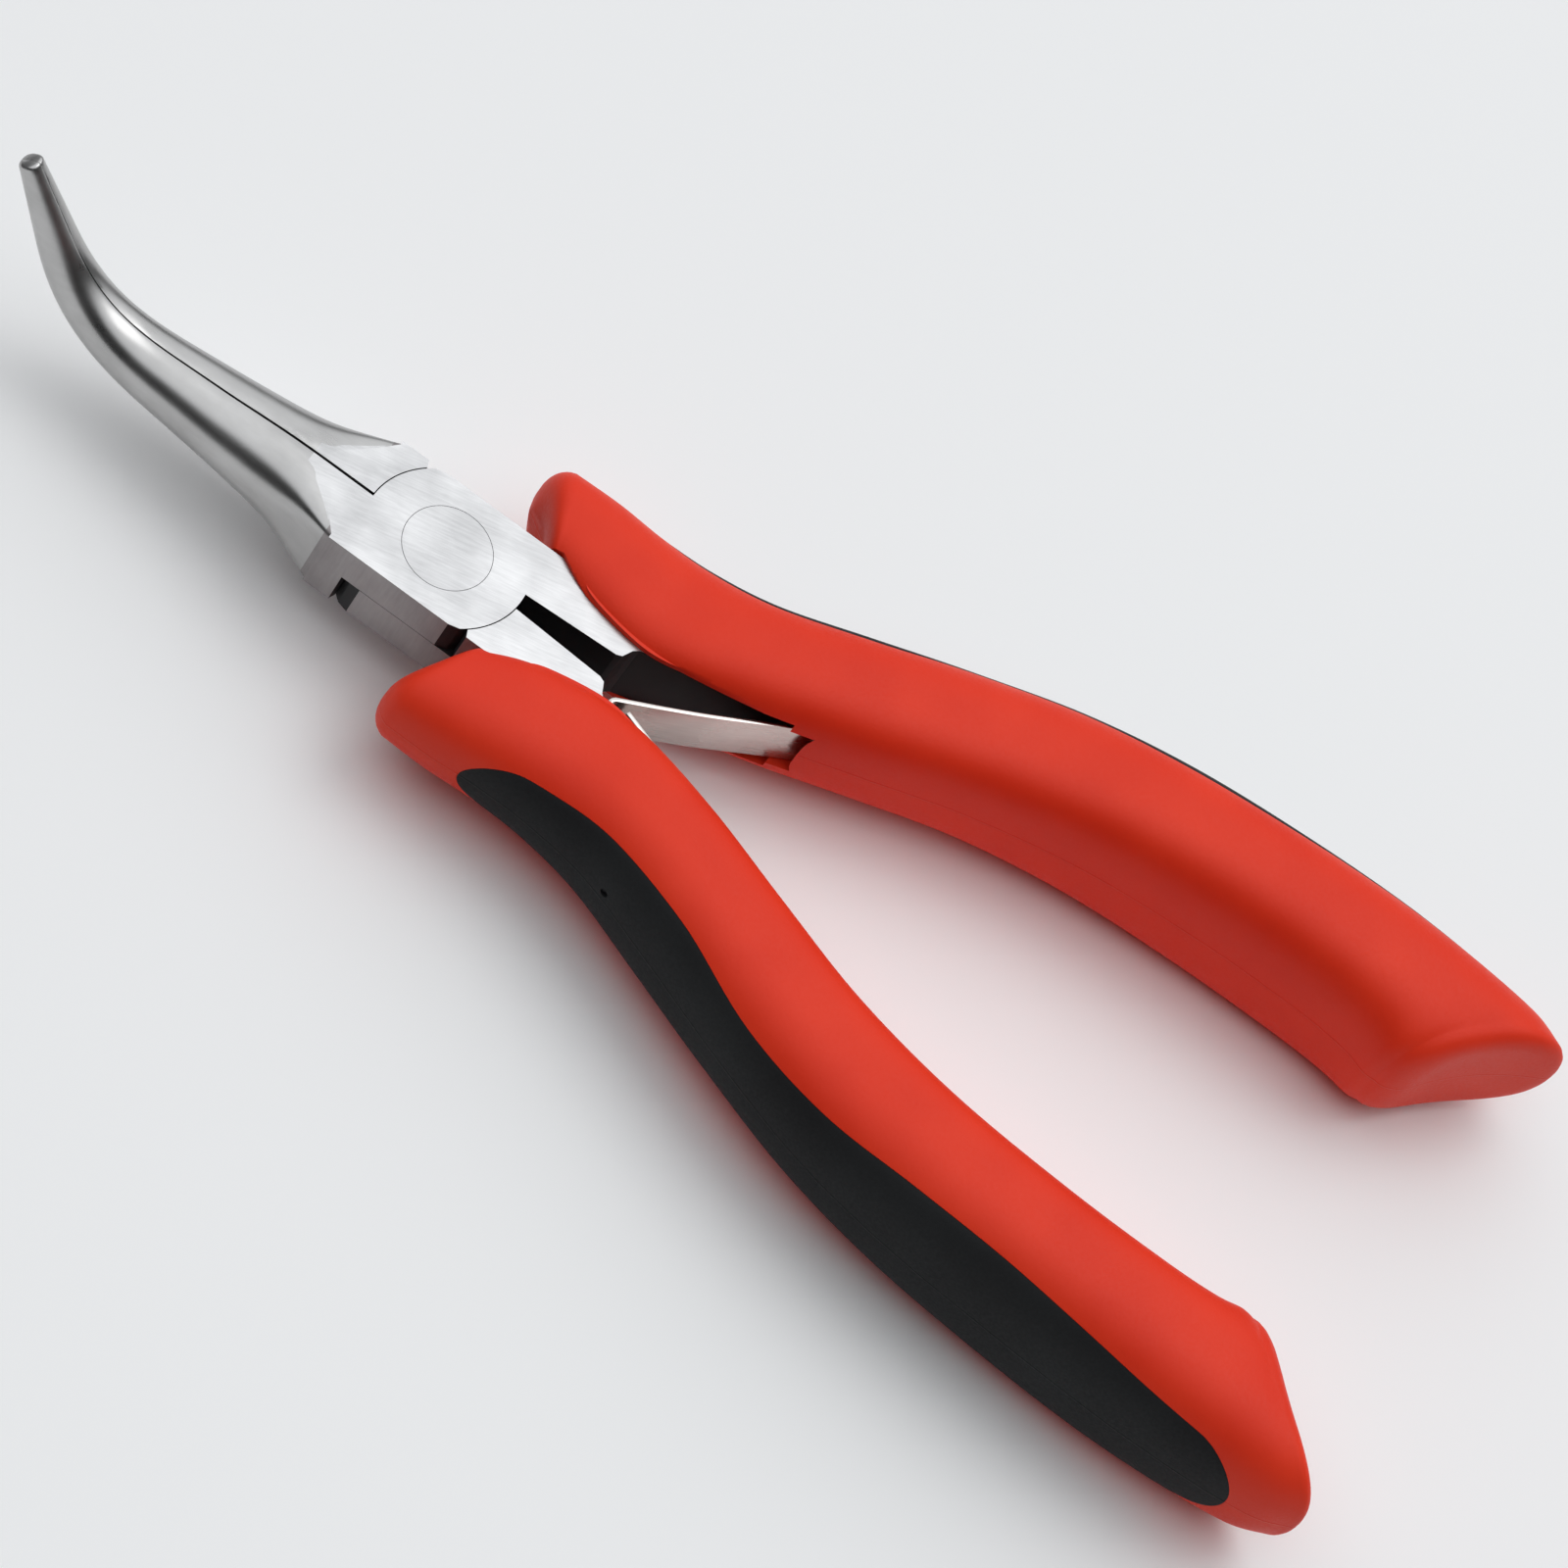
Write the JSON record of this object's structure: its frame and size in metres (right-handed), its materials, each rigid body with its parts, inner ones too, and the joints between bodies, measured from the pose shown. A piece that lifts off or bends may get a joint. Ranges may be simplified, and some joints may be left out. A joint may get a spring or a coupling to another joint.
{
  "type": "bent needle nose pliers",
  "caption": "Spring-opened needle nose pliers with a bent, tapering nose, a flush-riveted lap joint and curved two-material grips.",
  "frame": {"origin": "on the pivot's axis, at the centre of the rivet's flat lower face, flush with the joint's underside", "axes": "+X along the tool towards the tip of the nose, +Z along the pivot's axis towards the side that the nose bends to, +Y towards the lower lever's handle"},
  "size_m": [0.1647, 0.0634, 0.0243],
  "materials": {
    "forged_steel": "satin polished nose, ground joint faces",
    "rivet_steel": "ground flush with the joint",
    "spring_steel": "bright rolled strip",
    "red_plastic": "fine satin grain",
    "black_rubber": "matt"
  },
  "bodies": {
    "lower": {"lower_lever": "forged_steel", "pivot_rivet": "rivet_steel", "lower_grip": "red_plastic", "lower_grip_insert": "black_rubber"},
    "upper": {"upper_lever": "forged_steel", "upper_grip": "red_plastic", "upper_grip_insert": "black_rubber"},
    "lower_leaf": {"lower_leaf_spring": "spring_steel"},
    "upper_leaf": {"upper_leaf_spring": "spring_steel"}
  },
  "joints": [
    {"name": "jaw_pivot", "type": "hinge", "parent": "lower", "child": "upper", "pos_m": [0, 0, 0.00415], "axis": [0, 0, 1], "range_deg": [0, 22], "stiffness_Nm_per_rad": 0.8, "springref_deg": 28.65},
    {"name": "lower_leaf_flex", "type": "hinge", "parent": "lower", "child": "lower_leaf", "pos_m": [-0.041, 0.01035, 0.00415], "axis": [0, 0, 1], "range_deg": [-18, 0]},
    {"name": "upper_leaf_flex", "type": "hinge", "parent": "upper", "child": "upper_leaf", "pos_m": [-0.041, -0.01035, 0.00415], "axis": [0, 0, 1], "range_deg": [0, 14]}
  ],
  "couplings": [
    {"joint": "lower_leaf_flex", "follows": "jaw_pivot", "ratio": -0.8},
    {"joint": "upper_leaf_flex", "follows": "jaw_pivot", "ratio": 0.6}
  ]
}
